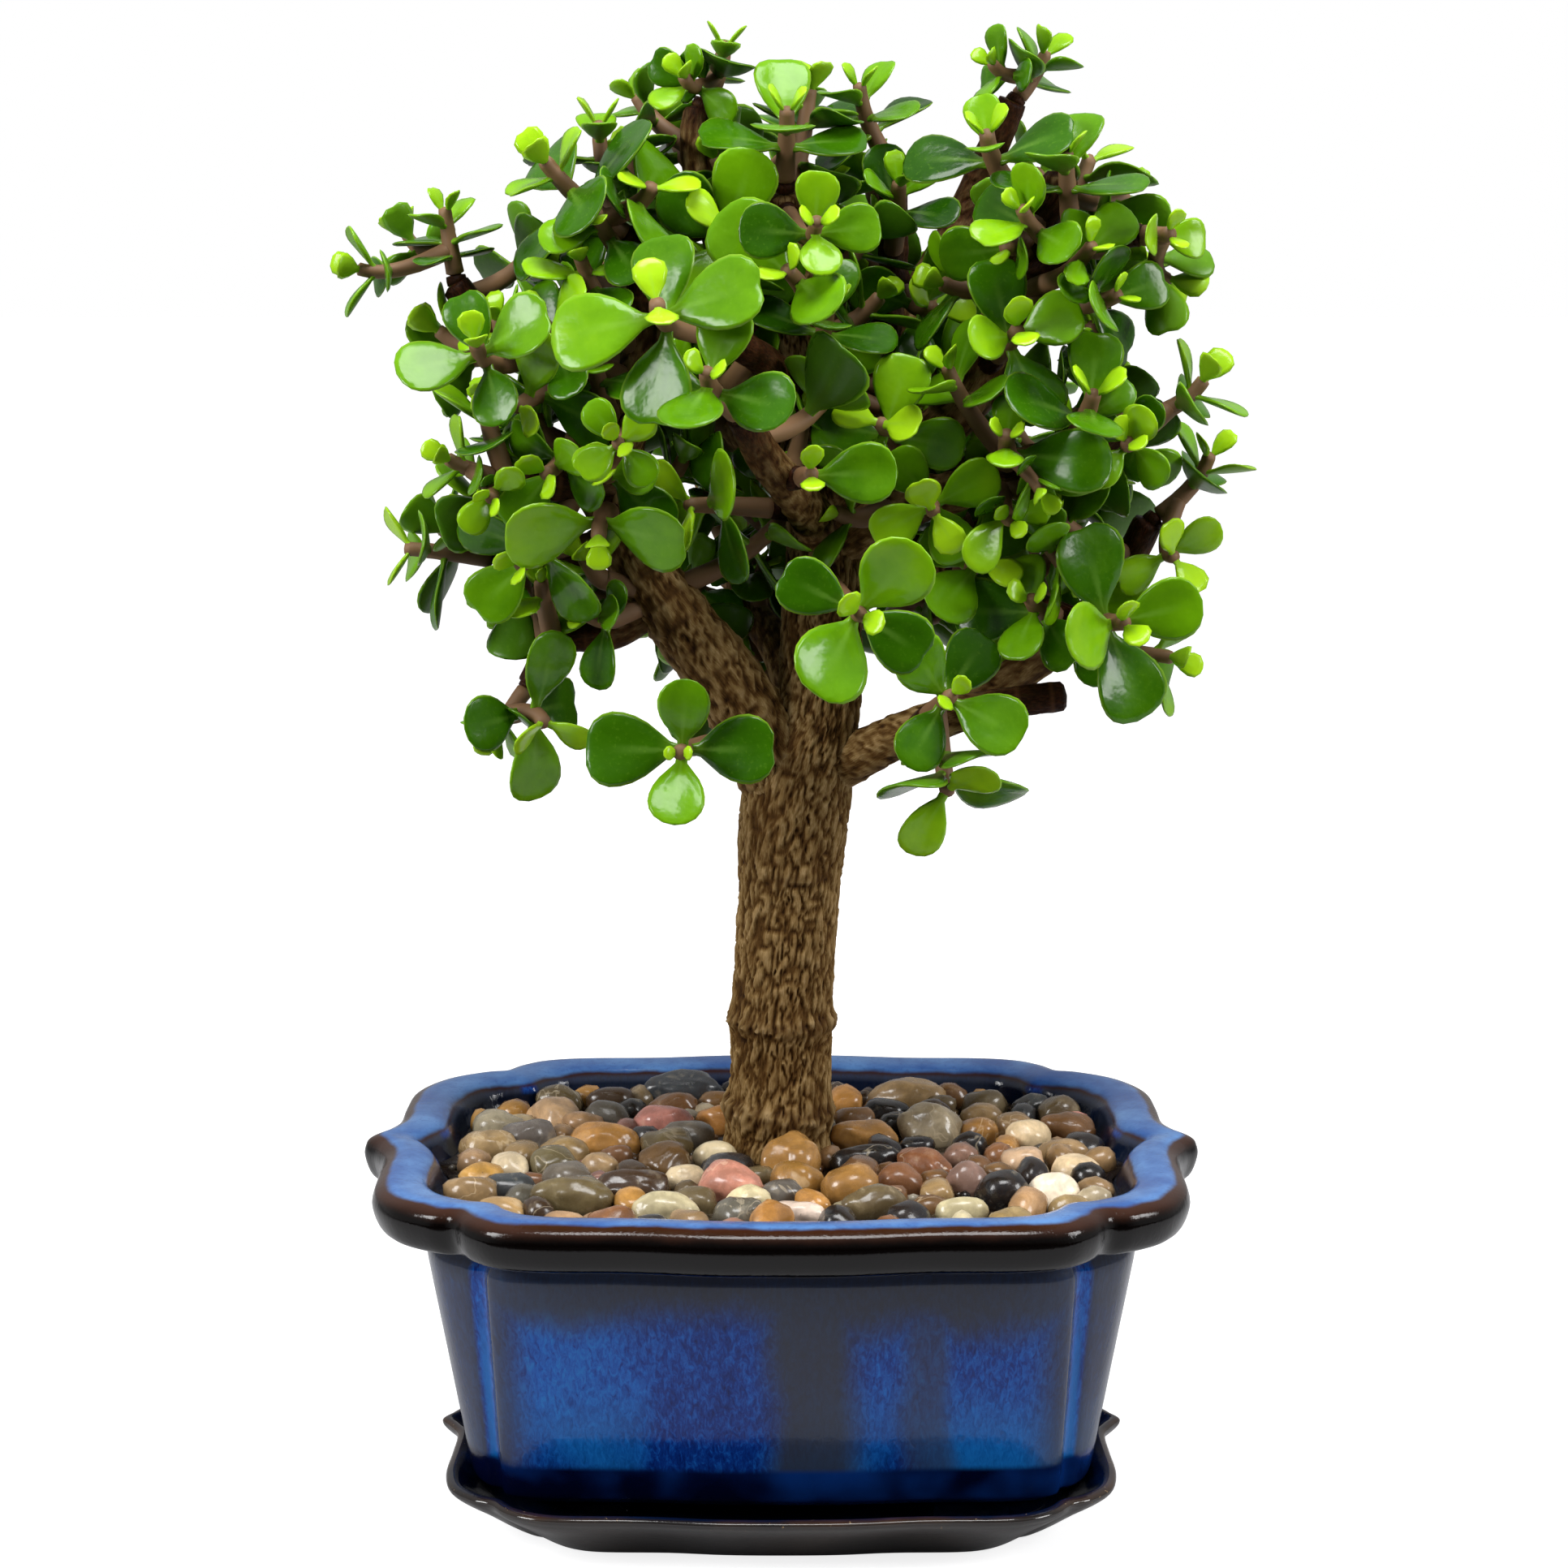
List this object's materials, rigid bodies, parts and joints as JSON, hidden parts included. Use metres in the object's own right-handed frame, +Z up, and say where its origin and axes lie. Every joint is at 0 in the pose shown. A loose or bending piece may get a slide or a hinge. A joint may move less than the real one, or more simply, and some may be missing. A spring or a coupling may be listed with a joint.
{
  "type": "jade bonsai",
  "caption": "Small jade tree with a thick trunk and a round crown of fleshy leaves, in a lobed glazed pot with pebbles on a matching saucer.",
  "frame": {"origin": "centre of the saucer's underside", "axes": "+Z up along the tree, +X along the pot's long side to the viewer's right, -Y towards the picture's camera"},
  "size_m": [0.1597, 0.1275, 0.2641],
  "materials": {
    "screen": "matte",
    "pebbles": "polished river pebbles",
    "pot_glaze": "cobalt gloss glaze",
    "saucer_glaze": "dark gloss glaze",
    "soil": "loose potting mix",
    "leaf": "waxy",
    "bark": "fibrous bark"
  },
  "bodies": {
    "root": {"drain_screen_left": "screen", "drain_screen_right": "screen", "pebbles": "pebbles", "pot": "pot_glaze", "saucer": "saucer_glaze", "soil": "soil", "spray_01": "leaf", "spray_02": "leaf", "spray_03": "leaf", "spray_04": "leaf", "spray_05": "leaf", "spray_06": "leaf", "spray_07": "leaf", "spray_08": "leaf", "spray_09": "leaf", "spray_10": "leaf", "spray_11": "leaf", "spray_12": "leaf", "spray_13": "leaf", "spray_14": "leaf", "spray_15": "leaf", "spray_16": "leaf", "spray_17": "leaf", "spray_18": "leaf", "spray_19": "leaf", "spray_20": "leaf", "spray_21": "leaf", "spray_22": "leaf", "spray_23": "leaf", "spray_24": "leaf", "spray_25": "leaf", "spray_26": "leaf", "spray_27": "leaf", "spray_28": "leaf", "spray_29": "leaf", "spray_30": "leaf", "spray_31": "leaf", "spray_32": "leaf", "spray_33": "leaf", "spray_34": "leaf", "spray_35": "leaf", "spray_36": "leaf", "spray_37": "leaf", "spray_38": "leaf", "spray_39": "leaf", "spray_40": "leaf", "spray_41": "leaf", "spray_42": "leaf", "spray_43": "leaf", "spray_44": "leaf", "spray_45": "leaf", "spray_46": "leaf", "spray_47": "leaf", "spray_48": "leaf", "spray_49": "leaf", "spray_50": "leaf", "trunk_and_branches": "bark"}
  },
  "joints": []
}
